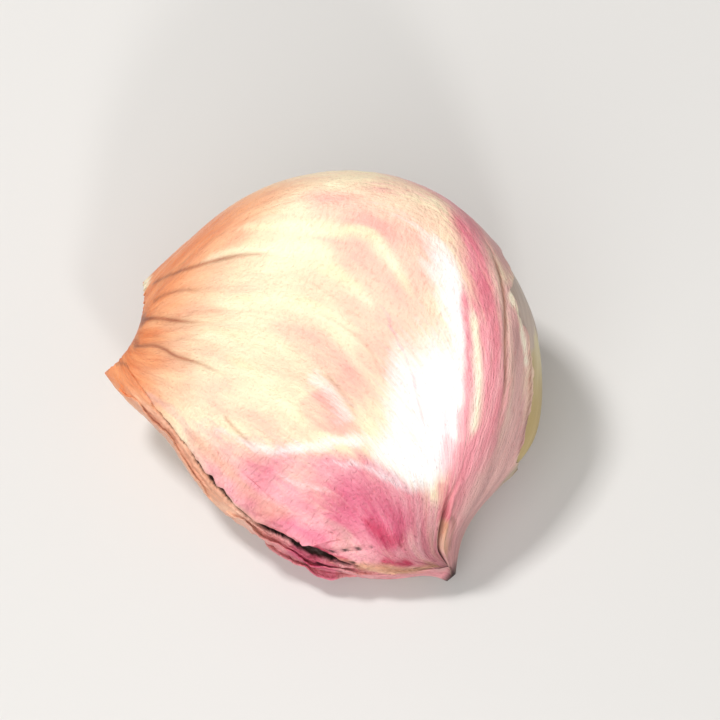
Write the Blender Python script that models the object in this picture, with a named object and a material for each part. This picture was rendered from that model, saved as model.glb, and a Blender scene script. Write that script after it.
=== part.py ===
"""A single garlic clove in its papery skin, lying on one flank.

Two pieces: the firm flesh with its root scar, and the dry skin that wraps it.
The skin is open round the root scar, folded at the tip and torn on its outer side,
where the flesh shows.

Units are metres, +Z is up. The form is drawn flat first, as seen square on to the
upper flank: x to the right, y up the page, w out of the page. The drawing is then
leaned back, so that the clove lies on its other flank.
"""

import math

import bmesh
import bpy
import numpy as np

MM = 0.001

# Driving sizes, in millimetres.
SKIN_THICKNESS = 0.45
CLEARANCE = 0.30
FOOT_CUT = 0.20
ROOT_BOW = 1.1
ROOT_DISH = 0.9
TEAR_SINK = 0.15
PLUG_RISE = 1.5
PLUG_DEPTH = 1.6
SPLIT_DEPTH = 0.30
KEEL_HEIGHT = 0.25
KEEL_VALLEY = 0.45
FLUTE_HEIGHT = 0.04

# The split seam runs this far in from the ventral edge and this far over it.
SPLIT_INSET = 1.0
SPLIT_RISE = 0.3

# The hollow of the skin and the flesh stop short of the tip, at these shares of the way.
HOLLOW_END = 0.988
FLESH_START = 0.03
FLESH_END = 0.98
ROOT_BOW_END = 0.12

# The flutes and the seam fade in and out between these shares of the way, and so does the
# crease at the tip.
FLUTE_FADE = (0.03, 0.20, 0.90, 0.99)
TIP_FADE = (0.83, 0.90, 0.975, 1.0)

# Flutes round a ring, and how far they turn on the way to the tip.
FLUTE_COUNT = 9.0
FLUTE_TWIST = 0.6

# Half widths of the seam, the valley and the keel beside it, as shares of the way round.
SPLIT_WIDTH = 0.008
VALLEY_WIDTH = 0.014
KEEL_WIDTH = 0.016
KEEL_OFFSET = 0.03

# Rings of the dished scar and of the tear, as shares of the way out from the middle.
SCAR_SHARES = (0.3, 0.6, 0.85)
PLUG_SHARES = (0.33, 0.66, 1.0)

# How far the drawing is leaned back from level, in degrees.
LEAN_DEG = 24.0

# Rings from the root end to the tip, in millimetres on the page. Each row holds the
# share of the way along, the ventral edge (x, y), the dorsal edge (x, y), the height
# of the upper flank and the depth of the lower flank over the page, the places of the
# upper and the lower ridge across the ring (-1 ventral, 1 dorsal), the half thickness
# of the ventral edge and how square the ring is (2 is an ellipse).
RINGS = (
    (0.000, -15.7, 0.2, -13.0, 6.4, 2.7, 2.7, 0.30, 0.20, 1.60, 2.3),
    (0.080, -14.3, -1.5, -10.8, 8.4, 4.5, 5.2, 0.50, 0.28, 1.60, 2.5),
    (0.180, -12.4, -3.3, -7.2, 11.4, 6.2, 8.1, 0.66, 0.33, 1.50, 2.7),
    (0.300, -10.9, -5.0, -2.8, 13.5, 7.5, 9.6, 0.74, 0.36, 1.40, 2.9),
    (0.420, -9.6, -7.0, 2.2, 14.0, 8.0, 9.95, 0.78, 0.38, 1.30, 3.0),
    (0.540, -7.7, -9.2, 7.5, 12.4, 7.9, 9.35, 0.80, 0.38, 1.20, 3.2),
    (0.660, -4.9, -11.3, 12.0, 8.4, 7.2, 7.9, 0.68, 0.37, 1.10, 3.6),
    (0.780, -1.5, -13.3, 14.7, 2.2, 5.9, 5.8, 0.46, 0.34, 1.00, 4.0),
    (0.880, 1.8, -14.0, 14.5, -4.2, 4.2, 3.5, 0.06, 0.30, 0.80, 4.0),
    (0.950, 4.9, -14.1, 11.6, -8.0, 2.6, 2.0, -0.16, 0.20, 0.60, 3.6),
    (0.985, 7.3, -14.0, 9.1, -11.6, 1.2, 1.0, -0.16, 0.10, 0.40, 3.0),
    (1.000, 8.1, -14.3, 8.7, -13.8, 0.35, 0.35, 0.0, 0.0, 0.20, 2.4),
)

# Shares of the way round a ring: 0 is the ventral edge, then over the upper flank to
# the upper ridge, the dorsal edge, the lower ridge and back along the lower flank.
SPLIT_AROUND = 0.045
RIDGE_AROUND = 0.36
DORSAL_AROUND = 0.50
LOWER_RIDGE_AROUND = 0.66

# Columns of the mesh: from, to and how many, close together where the skin is creased.
COLUMN_SPANS = (
    (0.0, 0.035, 2),
    (0.035, 0.055, 2),
    (0.055, 0.30, 13),
    (0.30, RIDGE_AROUND, 5),
    (RIDGE_AROUND, DORSAL_AROUND, 7),
    (DORSAL_AROUND, LOWER_RIDGE_AROUND, 9),
    (LOWER_RIDGE_AROUND, 1.0, 16),
)
OUTER_RINGS = 36
INNER_RINGS = 24
FLESH_COLUMN_STEP = 2
END_CROWDING = 0.6
SWEEP_STEPS = 181
SLOPE_STEP = 0.0005
SHARP_DEG = 50.0
FOOT_BLOCK = 60.0
TEAR_STEPS = 2
TEAR_SCALE = 0.92

# Linear colour and roughness of each surface.
SKIN_SURFACE = ((0.86, 0.58, 0.47), 0.42)
FLESH_SURFACE = ((0.85, 0.74, 0.46), 0.5)

# The crease beside the upper ridge near the tip: (share of the way along, share round).
CREASE_LINE = ((0.83, 0.350), (0.87, 0.315), (0.95, 0.325), (1.0, 0.320))

# The torn hole in the skin, as places (share of the way along, share of the way round).
TEAR_OUTLINE = (
    (0.636, 0.475),
    (0.662, 0.445),
    (0.690, 0.436),
    (0.698, 0.417),
    (0.714, 0.421),
    (0.728, 0.422),
    (0.742, 0.429),
    (0.772, 0.447),
    (0.834, 0.465),
    (0.898, 0.479),
    (0.935, 0.495),
    (0.915, 0.540),
    (0.870, 0.552),
    (0.845, 0.580),
    (0.790, 0.590),
    (0.760, 0.612),
    (0.700, 0.596),
    (0.660, 0.575),
    (0.640, 0.530),
)


def natural_spline(knots, values):
    """Return a function for the smooth curve through the values at the knots."""
    knots = np.asarray(knots, float)
    values = np.asarray(values, float)
    count = len(knots)
    gaps = np.diff(knots)
    slopes = np.diff(values, axis=0) / gaps[:, None]
    matrix = np.eye(count)
    right = np.zeros_like(values)
    for i in range(1, count - 1):
        matrix[i, i - 1:i + 2] = gaps[i - 1], 2.0 * (gaps[i - 1] + gaps[i]), gaps[i]
        right[i] = 6.0 * (slopes[i] - slopes[i - 1])
    bends = np.linalg.solve(matrix, right)

    def curve(share):
        share = np.clip(np.asarray(share, float), knots[0], knots[-1])
        i = np.clip(np.searchsorted(knots, share) - 1, 0, count - 2)
        gap = gaps[i][..., None]
        after = (share - knots[i])[..., None]
        before = gap - after
        bend = (bends[i] * before ** 3 + bends[i + 1] * after ** 3) / (6.0 * gap)
        start = (values[i] / gap - bends[i] * gap / 6.0) * before
        end = (values[i + 1] / gap - bends[i + 1] * gap / 6.0) * after
        return bend + start + end

    return curve


TIP_SHARE = RINGS[-1][0]
ring_at = natural_spline([row[0] for row in RINGS], [row[1:] for row in RINGS])


def smooth_step(low, high, value):
    """Rise smoothly from 0 at low to 1 at high."""
    share = np.clip((value - low) / (high - low), 0.0, 1.0)
    return share * share * (3.0 - 2.0 * share)


def bump(value, centre, width):
    """A smooth hump of height 1 at the centre."""
    return np.exp(-((value - centre) / width) ** 2)


def faded(along, start, full, waning, end):
    """Rise from 0 at the start to 1, and fall back to 0 at the end."""
    return smooth_step(start, full, along) * smooth_step(end, waning, along)


def root_axis():
    """The direction on the page that runs into the clove, square to the root scar."""
    across = np.array(RINGS[0][3:5]) - np.array(RINGS[0][1:3])
    across /= np.linalg.norm(across)
    return np.array((across[1], -across[0]))


def ring_points(along, around, inset=0.0):
    """Points of the form, in millimetres, pulled in from each face by the inset."""
    along = np.asarray(along, float)
    around = np.asarray(around, float) % 1.0
    row = ring_at(along)
    ventral, dorsal = row[..., 0:2], row[..., 2:4]
    upper, lower = row[..., 4], row[..., 5]
    across = dorsal - ventral
    half = np.linalg.norm(across, axis=-1) / 2.0
    across = across / (2.0 * half[..., None])
    edge, power = row[..., 8], row[..., 9][..., None]

    # Five corners, counter-clockwise from the dorsal edge, give five faces.
    corners = np.stack([
        np.stack([half, np.zeros_like(half)], -1),
        np.stack([row[..., 6] * half, upper], -1),
        np.stack([-half, edge], -1),
        np.stack([-half, -edge], -1),
        np.stack([row[..., 7] * half, -lower], -1),
    ], -2)
    sides = np.roll(corners, -1, axis=-2) - corners
    normals = np.stack([sides[..., 1], -sides[..., 0]], -1)
    normals /= np.linalg.norm(normals, axis=-1, keepdims=True)
    distances = np.sum(normals * corners, -1)
    facing = np.arctan2(normals[..., 1], normals[..., 0])

    def reach(angle, distance):
        cosines = np.maximum(np.cos(angle[..., None] - facing[..., None, :]), 0.0)
        terms = (cosines / distance[..., None, :]) ** power[..., None]
        return np.sum(terms, -1) ** (-1.0 / power)

    # The rounded ring is stretched back to its full width and height.
    sweep = np.linspace(-math.pi, math.pi, SWEEP_STEPS)
    sweep = np.broadcast_to(sweep, half.shape + (SWEEP_STEPS,))
    full = reach(sweep, distances)
    wide, high = full * np.cos(sweep), full * np.sin(sweep)
    stretch_wide = 2.0 * half / (wide.max(-1) - wide.min(-1))
    stretch_high = (upper + lower) / (high.max(-1) - high.min(-1))

    marks = (0.0, SPLIT_AROUND, RIDGE_AROUND, DORSAL_AROUND, LOWER_RIDGE_AROUND, 1.0)
    split = np.arctan2(edge + SPLIT_RISE, SPLIT_INSET - half)
    ridge = np.arctan2(upper, row[..., 6] * half)
    under = np.arctan2(-lower, row[..., 7] * half)
    turns = (np.full_like(half, math.pi), split, ridge, np.zeros_like(half), under,
             np.full_like(half, -math.pi))
    angle = np.zeros_like(half)
    for i in range(len(marks) - 1):
        part = (around - marks[i]) / (marks[i + 1] - marks[i])
        here = (part >= 0.0) & (part < 1.0)
        angle = np.where(here, turns[i] + part * (turns[i + 1] - turns[i]), angle)

    length = reach(angle[..., None], distances - inset)[..., 0]
    place_wide = length * np.cos(angle) - wide.min(-1)
    place_high = length * np.sin(angle) - high.max(-1)
    place_wide = place_wide * stretch_wide - half
    place_high = place_high * stretch_high + upper
    page = (ventral + dorsal) / 2.0 + across * place_wide[..., None]
    bow = ROOT_BOW * np.maximum(1.0 - along / ROOT_BOW_END, 0.0) ** 2
    bow = bow * (1.0 - (place_wide / half) ** 2)
    page = page + bow[..., None] * root_axis()
    return np.concatenate([page, place_high[..., None]], -1)


def relief(along, around):
    """Height of the creases and flutes over the plain form, in millimetres."""
    middle = faded(along, *FLUTE_FADE)
    turn = FLUTE_COUNT * around + FLUTE_TWIST * along
    flutes = FLUTE_HEIGHT * middle * np.sin(2.0 * math.pi * turn)
    split = -SPLIT_DEPTH * middle * bump(around, SPLIT_AROUND, SPLIT_WIDTH)
    tip = faded(along, *TIP_FADE)
    crease = np.interp(along, *np.transpose(CREASE_LINE))
    valley = -KEEL_VALLEY * tip * bump(around, crease, VALLEY_WIDTH)
    keel = KEEL_HEIGHT * tip * bump(around, crease + KEEL_OFFSET, KEEL_WIDTH)
    return flutes + split + valley + keel


def surface(along, around, inset=0.0, raised=0.0, creased=True):
    """Points of the form with its relief, raised along the normal."""
    along, around = np.broadcast_arrays(np.asarray(along, float), np.asarray(around, float))
    low = np.maximum(along - SLOPE_STEP, 0.0)
    high = np.minimum(along + SLOPE_STEP, TIP_SHARE)
    forward = ring_points(high, around, inset) - ring_points(low, around, inset)
    sideways = ring_points(along, around + SLOPE_STEP, inset)
    sideways = sideways - ring_points(along, around - SLOPE_STEP, inset)
    normal = np.cross(forward, sideways)
    normal /= np.maximum(np.linalg.norm(normal, axis=-1, keepdims=True), 1e-9)
    height = np.full(along.shape, raised, float)
    if creased:
        height = height + relief(along, around)
    return ring_points(along, around, inset) + normal * height[..., None]


def mesh_object(name, points, faces):
    """An object from points in millimetres on the page."""
    mesh = bpy.data.meshes.new(name)
    mesh.from_pydata([tuple(point * MM) for point in points], [], faces)
    shell = bmesh.new()
    shell.from_mesh(mesh)
    bmesh.ops.recalc_face_normals(shell, faces=shell.faces)
    shell.to_mesh(mesh)
    shell.free()
    mesh.shade_smooth()
    mesh.set_sharp_from_angle(angle=math.radians(SHARP_DEG))
    item = bpy.data.objects.new(name, mesh)
    bpy.context.scene.collection.objects.link(item)
    return item


def closed_tube(name, rings, start, end):
    """A solid from rings of points, closed by a fan to a point at each end."""
    count, across = rings.shape[0], rings.shape[1]
    points = list(rings.reshape(-1, 3)) + [start, end]
    faces = []
    for i in range(count - 1):
        for j in range(across):
            k = (j + 1) % across
            faces.append((i * across + j, i * across + k,
                          (i + 1) * across + k, (i + 1) * across + j))
    last = (count - 1) * across
    for j in range(across):
        k = (j + 1) % across
        faces.append((count * across, k, j))
        faces.append((count * across + 1, last + j, last + k))
    return mesh_object(name, points, faces)


def columns():
    """Shares of the way round at which the mesh has a column."""
    spans = [np.linspace(low, high, count, endpoint=False) for low, high, count in COLUMN_SPANS]
    return np.concatenate(spans)


def ring_shares(low, high, count):
    """Shares of the way along, closer together towards both ends."""
    even = np.linspace(0.0, 1.0, count)
    eased = 0.5 - 0.5 * np.cos(math.pi * even)
    return low + (high - low) * (END_CROWDING * eased + (1.0 - END_CROWDING) * even)


def into_clove(distance):
    """A step on the page along the root axis."""
    return np.append(root_axis() * distance, 0.0)


def skin_form():
    """The skin as a cup: down the outside to the root, then back up the inside."""
    around = columns()[None, :]
    outside = ring_shares(0.0, TIP_SHARE, OUTER_RINGS)[::-1, None]
    inside = ring_shares(0.0, HOLLOW_END, INNER_RINGS)[:, None]
    rings = np.concatenate([surface(outside, around),
                            ring_points(inside, around, SKIN_THICKNESS)])
    return closed_tube("papery_skin", rings, rings[0].mean(0), rings[-1].mean(0))


def flesh_form():
    """The flesh, with a dished root scar set back from the rim of the skin."""
    inset = SKIN_THICKNESS + CLEARANCE
    along = ring_shares(FLESH_START, FLESH_END, INNER_RINGS)[:, None]
    rings = ring_points(along, columns()[None, ::FLESH_COLUMN_STEP], inset)
    middle = rings[0].mean(0)
    scar = []
    for share in SCAR_SHARES:
        scar.append(middle + (rings[0] - middle) * share
                    + into_clove(ROOT_DISH * (1.0 - share ** 2)))
    rings = np.concatenate([np.array(scar), rings])
    return closed_tube("clove_flesh", rings, middle + into_clove(ROOT_DISH), rings[-1].mean(0))


def tear_plug(name, scale, outside, inside):
    """A plug that follows the form between two heights, with the outline of the tear."""
    outline = np.array(TEAR_OUTLINE)
    centre = outline.mean(0)
    steps = np.linspace(0.0, 1.0, TEAR_STEPS, endpoint=False)[:, None]
    edge = np.concatenate([first + (second - first) * steps
                           for first, second in zip(outline, np.roll(outline, -1, axis=0))])
    edge = centre + (edge - centre) * scale
    rings = []
    for height, shares in ((outside, PLUG_SHARES), (inside, PLUG_SHARES[::-1])):
        for share in shares:
            place = centre + (edge - centre) * share
            rings.append(surface(place[:, 0], place[:, 1], raised=height, creased=False))
    ends = [surface(centre[0], centre[1], raised=height, creased=False)
            for height in (outside, inside)]
    return closed_tube(name, np.array(rings), ends[0], ends[1])


def combine(target, tool, operation):
    """Join or cut the target with the tool, which is then only a guide."""
    boolean = target.modifiers.new(tool.name, "BOOLEAN")
    boolean.operation = operation
    boolean.solver = "EXACT"
    boolean.object = tool
    tool.hide_render = True
    tool.display_type = "WIRE"


def foot_block(level):
    """A block whose top is the level plane of the foot, in metres."""
    shell = bmesh.new()
    bmesh.ops.create_cube(shell, size=FOOT_BLOCK * MM)
    bmesh.ops.translate(shell, verts=shell.verts, vec=(0.0, 0.0, level - FOOT_BLOCK * MM / 2.0))
    mesh = bpy.data.meshes.new("foot_block")
    shell.to_mesh(mesh)
    shell.free()
    item = bpy.data.objects.new("foot_block", mesh)
    bpy.context.scene.collection.objects.link(item)
    return item


def material(name, colour, roughness):
    """A plain surface with the given linear colour."""
    surface_material = bpy.data.materials.new(name)
    surface_material.use_nodes = True
    shader = surface_material.node_tree.nodes["Principled BSDF"]
    shader.inputs["Base Color"].default_value = (*colour, 1.0)
    shader.inputs["Roughness"].default_value = roughness
    shader.inputs["Metallic"].default_value = 0.0
    return surface_material


def world_points(item):
    """The points of an object as built, in metres."""
    built = item.evaluated_get(bpy.context.evaluated_depsgraph_get())
    return np.array([item.matrix_world @ vertex.co for vertex in built.data.vertices])


def build():
    """Make both pieces, lean them back and set them down."""
    for item in list(bpy.data.objects):
        bpy.data.objects.remove(item, do_unlink=True)
    lean = bpy.data.objects.new("clove", None)
    bpy.context.scene.collection.objects.link(lean)
    lean.rotation_euler = (math.radians(LEAN_DEG), 0.0, 0.0)

    skin = skin_form()
    flesh = flesh_form()
    tear = tear_plug("tear_cutter", 1.0, PLUG_RISE, -PLUG_DEPTH)
    patch = tear_plug("flesh_in_tear", TEAR_SCALE, -TEAR_SINK, -PLUG_DEPTH)
    for item in (skin, flesh, tear, patch):
        item.parent = lean
    bpy.context.view_layer.update()

    points = world_points(skin)
    centre = (points.max(0) + points.min(0)) / 2.0
    lean.location = (-centre[0], -centre[1], -points[:, 2].min() - FOOT_CUT * MM)
    foot = foot_block(0.0)
    combine(skin, tear, "DIFFERENCE")
    combine(skin, foot, "DIFFERENCE")
    combine(flesh, patch, "UNION")
    skin.data.materials.append(material("dry_skin", *SKIN_SURFACE))
    flesh.data.materials.append(material("firm_flesh", *FLESH_SURFACE))


build()
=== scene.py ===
import math

import bmesh
import bpy
import numpy as np
from mathutils import Matrix, Vector
from mathutils.kdtree import KDTree


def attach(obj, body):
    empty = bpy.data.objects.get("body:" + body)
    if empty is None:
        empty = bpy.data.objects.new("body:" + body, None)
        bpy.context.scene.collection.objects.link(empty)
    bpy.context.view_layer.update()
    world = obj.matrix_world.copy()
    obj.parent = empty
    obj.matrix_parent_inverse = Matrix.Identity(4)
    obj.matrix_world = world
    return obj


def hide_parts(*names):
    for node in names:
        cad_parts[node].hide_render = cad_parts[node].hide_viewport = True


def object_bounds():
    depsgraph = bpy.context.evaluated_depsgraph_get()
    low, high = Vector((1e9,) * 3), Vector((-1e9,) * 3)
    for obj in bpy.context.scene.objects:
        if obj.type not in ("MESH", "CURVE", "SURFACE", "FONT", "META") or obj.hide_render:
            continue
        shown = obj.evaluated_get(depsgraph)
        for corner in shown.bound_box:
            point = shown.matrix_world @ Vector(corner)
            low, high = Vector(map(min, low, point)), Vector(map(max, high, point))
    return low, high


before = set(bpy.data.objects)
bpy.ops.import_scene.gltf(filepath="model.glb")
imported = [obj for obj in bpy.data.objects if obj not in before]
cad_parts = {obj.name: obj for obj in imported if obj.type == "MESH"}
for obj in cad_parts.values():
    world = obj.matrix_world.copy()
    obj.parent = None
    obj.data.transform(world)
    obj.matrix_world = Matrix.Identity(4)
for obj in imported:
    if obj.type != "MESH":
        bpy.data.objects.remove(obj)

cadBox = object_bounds()
mm = 0.001

# The clove is drawn flat, in millimetres, as the camera sees it: x right, y up, w towards the eye.
# Each ring: share of the way from root to tip, ventral edge x y, dorsal edge x y, height of the
# upper flank, depth of the lower one, upper ridge, lower ridge, half thickness of the ventral
# edge, squareness.
clove = {
    "rings": (
        (0.000, -15.7, 0.2, -13.0, 6.4, 2.7, 2.7, 0.30, 0.20, 1.60, 2.3),
        (0.080, -14.3, -1.5, -10.8, 8.4, 4.5, 5.2, 0.50, 0.28, 1.60, 2.5),
        (0.180, -12.4, -3.3, -7.2, 11.4, 6.2, 8.1, 0.66, 0.33, 1.50, 2.7),
        (0.300, -10.9, -5.0, -2.8, 13.5, 7.5, 9.6, 0.74, 0.36, 1.40, 2.9),
        (0.420, -9.6, -7.0, 2.2, 14.0, 8.0, 9.95, 0.78, 0.38, 1.30, 3.0),
        (0.540, -7.7, -9.2, 7.5, 12.4, 7.9, 9.35, 0.80, 0.38, 1.20, 3.2),
        (0.660, -4.9, -11.3, 12.0, 8.4, 7.2, 7.9, 0.68, 0.37, 1.10, 3.6),
        (0.780, -1.5, -13.3, 14.7, 2.2, 5.9, 5.8, 0.46, 0.34, 1.00, 4.0),
        (0.880, 1.8, -14.0, 14.5, -4.2, 4.2, 3.5, 0.06, 0.30, 0.80, 4.0),
        (0.950, 4.9, -14.1, 11.6, -8.0, 2.6, 2.0, -0.16, 0.20, 0.60, 3.6),
        (0.985, 7.3, -14.0, 9.1, -11.6, 1.2, 1.0, -0.16, 0.10, 0.40, 3.0),
        (1.000, 8.1, -14.3, 8.7, -13.8, 0.35, 0.35, 0.0, 0.0, 0.20, 2.4),
    ),
    "lean": 24.0,            # degrees that the drawing leans back as the clove lies
    "rootBow": 1.1,          # how far the root rim is scooped, mm
    "bowEnd": 0.12,          # where the scoop ends, as a share of the way along
    "splitAround": 0.045,
    "splitIn": 1.0,          # how far in from the ventral edge the split lies, mm
    "splitUp": 0.3,          # and how far above the edge's corner, mm
    "ridgeAround": 0.36,
    "dorsalAround": 0.50,
    "lowerRidgeAround": 0.66,
    "radius": 9.5,           # mean radius round the clove, mm
    "girth": 60.0,           # the way round it in round figures, mm
    "length": 44.0,          # from root to tip over the upper flank, mm
}


def naturalSpline(knots, values):
    knots, values = np.asarray(knots, float), np.asarray(values, float)
    count = len(knots)
    gaps = np.diff(knots)
    slopes = np.diff(values, axis=0) / gaps[:, None]
    matrix = np.eye(count)
    right = np.zeros_like(values)
    for i in range(1, count - 1):
        matrix[i, i - 1:i + 2] = gaps[i - 1], 2 * (gaps[i - 1] + gaps[i]), gaps[i]
        right[i] = 6 * (slopes[i] - slopes[i - 1])
    bends = np.linalg.solve(matrix, right)

    def curve(share):
        share = np.clip(np.asarray(share, float), knots[0], knots[-1])
        i = np.clip(np.searchsorted(knots, share) - 1, 0, count - 2)
        gap = gaps[i][..., None]
        after = (share - knots[i])[..., None]
        before = gap - after
        return ((bends[i] * before ** 3 + bends[i + 1] * after ** 3) / (6 * gap)
                + (values[i] / gap - bends[i] * gap / 6) * before
                + (values[i + 1] / gap - bends[i + 1] * gap / 6) * after)

    return curve


ringAt = naturalSpline([row[0] for row in clove["rings"]], [row[1:] for row in clove["rings"]])


def smoothStep(low, high, value):
    share = np.clip((value - low) / (high - low), 0, 1)
    return share * share * (3 - 2 * share)


def hump(value, centre, width):
    return np.exp(-((value - centre) / width) ** 2)


def rootAxis():
    first = clove["rings"][0]
    across = np.array(first[3:5]) - np.array(first[1:3])
    across /= np.linalg.norm(across)
    return np.array((across[1], -across[0]))


# A ring's ventral and dorsal edges on the page, then its other columns one by one.
def ringParts(along):
    row = ringAt(along)
    return row[..., 0:2], row[..., 2:4], *np.moveaxis(row[..., 4:], -1, 0)


# Each ring is a five-cornered outline with its corners rounded off: the half width, the direction
# across the page, and the distance and facing of the five sides.
def ringSides(ventral, dorsal, upper, lower, upperRidge, lowerRidge, edge):
    across = dorsal - ventral
    half = np.linalg.norm(across, axis=-1) / 2
    corners = np.stack([
        np.stack([half, np.zeros_like(half)], -1),
        np.stack([upperRidge * half, upper], -1),
        np.stack([-half, edge], -1),
        np.stack([-half, -edge], -1),
        np.stack([lowerRidge * half, -lower], -1),
    ], -2)
    sides = np.roll(corners, -1, axis=-2) - corners
    normals = np.stack([sides[..., 1], -sides[..., 0]], -1)
    normals /= np.linalg.norm(normals, axis=-1, keepdims=True)
    distances = np.sum(normals * corners, -1)
    facing = np.arctan2(normals[..., 1], normals[..., 0])
    return half, across / (2 * half[..., None]), distances, facing


def reach(angle, distances, facing, power):
    cosines = np.maximum(np.cos(angle[..., None] - facing), 0)
    return np.sum((cosines / distances) ** power[..., None], -1) ** (-1 / power)


# How far the rounded rings spread, ring by ring, so that they can be stretched to full size.
def ringExtents(shares):
    *outline, squareness = ringParts(shares)
    half, across, distances, facing = ringSides(*outline)
    sweep = np.linspace(-math.pi, math.pi, 181)
    span = reach(sweep[None], distances[:, None], facing[:, None], squareness[:, None])
    wide, high = span * np.cos(sweep), span * np.sin(sweep)
    return wide.min(1), wide.max(1), high.min(1), high.max(1)


extentShares = np.linspace(0, 1, 400)
extents = ringExtents(extentShares)


def formPoints(along, around):
    along, around = np.broadcast_arrays(np.asarray(along, float), np.asarray(around, float) % 1.0)
    *outline, squareness = ringParts(along)
    ventral, dorsal, upper, lower, upperRidge, lowerRidge, edge = outline
    half, across, distances, facing = ringSides(*outline)
    wideLow, wideHigh, highLow, highHigh = (np.interp(along, extentShares, part) for part in extents)
    marks = (0.0, clove["splitAround"], clove["ridgeAround"], clove["dorsalAround"],
             clove["lowerRidgeAround"], 1.0)
    turns = (np.full_like(half, math.pi), np.arctan2(edge + clove["splitUp"], clove["splitIn"] - half),
             np.arctan2(upper, upperRidge * half), np.zeros_like(half),
             np.arctan2(-lower, lowerRidge * half), np.full_like(half, -math.pi))
    angle = np.zeros_like(half)
    for i in range(len(marks) - 1):
        part = (around - marks[i]) / (marks[i + 1] - marks[i])
        here = (part >= 0) & (part < 1)
        angle = np.where(here, turns[i] + part * (turns[i + 1] - turns[i]), angle)
    span = reach(angle, distances, facing, squareness)
    placeWide = (span * np.cos(angle) - wideLow) * 2 * half / (wideHigh - wideLow) - half
    placeHigh = (span * np.sin(angle) - highHigh) * (upper + lower) / (highHigh - highLow) + upper
    page = (ventral + dorsal) / 2 + across * placeWide[..., None]
    fade = np.maximum(1 - along / clove["bowEnd"], 0) ** 2
    bow = clove["rootBow"] * fade * (1 - (placeWide / half) ** 2)
    page = page + bow[..., None] * rootAxis()
    return np.concatenate([page, placeHigh[..., None]], -1)


def raisedPoints(along, around, height):
    step = 0.0005
    forward = (formPoints(np.minimum(along + step, 1), around)
               - formPoints(np.maximum(along - step, 0), around))
    sideways = formPoints(along, around + step) - formPoints(along, around - step)
    normal = np.cross(forward, sideways)
    normal /= np.maximum(np.linalg.norm(normal, axis=-1, keepdims=True), 1e-9)
    return formPoints(along, around) + normal * np.asarray(height)[..., None]


patterns = {        # mm round the clove, mm along it, seed, octaves
    "tearAlong": (0.5, 0.5, 31, 2),
    "tearAround": (0.45, 0.45, 32, 2),
    "splitWander": (1, 1.0, 41, 2),
    "slitUneven": (1, 1.4, 42, 2),
    "curl": (1.4, 1.4, 51, 1),
    "ribs": (1.6, 22, 61, 2),
    "crinkles": (0.9, 1.7, 62, 3),
    "pebbles": (0.42, 0.7, 63, 2),
    "edgeThreads": (0.30, 5, 64, 2),
    "rimJag": (0.45, 1, 71, 3),
    "strokeSway": (0.7, 3.5, 79, 3),
    "strokeShift": (3, 5, 80, 3),
    "stainDrift": (2.0, 4.0, 81, 3),
    "blushPatches": (1.2, 3.5, 82, 3),
    "fleshSwell": (2.5, 6, 91, 2),
    "scarRough": (0.8, 1, 92, 3),
    "oliveEdge": (1.2, 2.5, 93, 2),
    "filmEdge": (0.7, 0.9, 94, 3),
    "fleshRibs": (0.5, 7, 95, 2),
    "stripRagged": (5, 1, 100, 2),
    "stripFray": (0.9, 1, 105, 3),
    "stripWave": (6.0, 1, 110, 1),
    "stripGrain": (0.4, 0.8, 120, 2),
}


# Repeatable noise, about -1 to 1, by hashing the corners of a lattice.
def latticeNoise(places, seed):
    cell = np.floor(places).astype(np.int64)
    part = places - cell
    part = part * part * (3 - 2 * part)
    total = np.zeros(places.shape[:-1])
    for corner in range(8):
        step = np.array((corner & 1, corner >> 1 & 1, corner >> 2 & 1))
        key = ((cell + step) * (374761393, 668265263, 1442695041)).sum(-1) + seed * 974634777
        key = (key ^ (key >> 13)) * 1274126177
        key = (key ^ (key >> 16)) & 0xFFFF
        weight = np.prod(np.where(step, part, 1 - part), axis=-1)
        total += weight * (key / 32767.5 - 1)
    return total


# Where a place on the clove lies in the patterns: round it, and along it, in mm.
def grainSpace(along, around):
    turn = 2 * math.pi * around
    return np.stack([clove["radius"] * np.cos(turn), clove["radius"] * np.sin(turn),
                     clove["length"] * along], -1)


def grainNoise(grain, name, more=0):
    wide, long, seed, octaves = patterns[name]
    total, size = 0.0, 1.0
    for octave in range(octaves):
        places = grain / (wide * size, wide * size, long * size)
        total = total + latticeNoise(places, seed + more + 7 * octave) * size
        size /= 2
    return total


spans = {           # shares at which a form starts, is full, wanes and ends
    # along the clove
    "flutes": (0.03, 0.20, 0.90, 0.99),
    "split": (0.01, 0.10, 0.93, 0.985),
    "gape": (0.48, 0.62, 0.76, 0.86),
    "slit": (0.01, 0.06, 0.86, 0.94),
    "huskStrip": (0.03, 0.20, 0.45, 0.80),
    "curl": (0.64, 0.72, 0.80, 0.88),
    "tip": (0.83, 0.90, 0.975, 1.0),
    "film": (0.60, 0.66, 0.90, 0.98),
    "scarRing": (-0.42, -0.30, -0.24, -0.12),
    # round it
    "hiddenFlank": (0.52, 0.60, 0.90, 0.97),
    "rimCorner": (0.41, 0.44, 0.485, 0.50),
    "filmRound": (0.38, 0.42, 0.57, 0.64),
    "oliveRound": (0.40, 0.44, 0.50, 0.60),
}


def faded(share, name):
    start, full, waning, end = spans[name]
    return smoothStep(start, full, share) * smoothStep(end, waning, share)


# From nought at both ends of a line to full between them, over these shares of it.
def thinned(share, atStart, atEnd):
    return smoothStep(0, atStart, share) * smoothStep(1, 1 - atEnd, share)


# A line is a few places, in thousandths of the way from root to tip and of the way round.
def drawn(line):
    return np.array(line, float) / 1000


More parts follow.
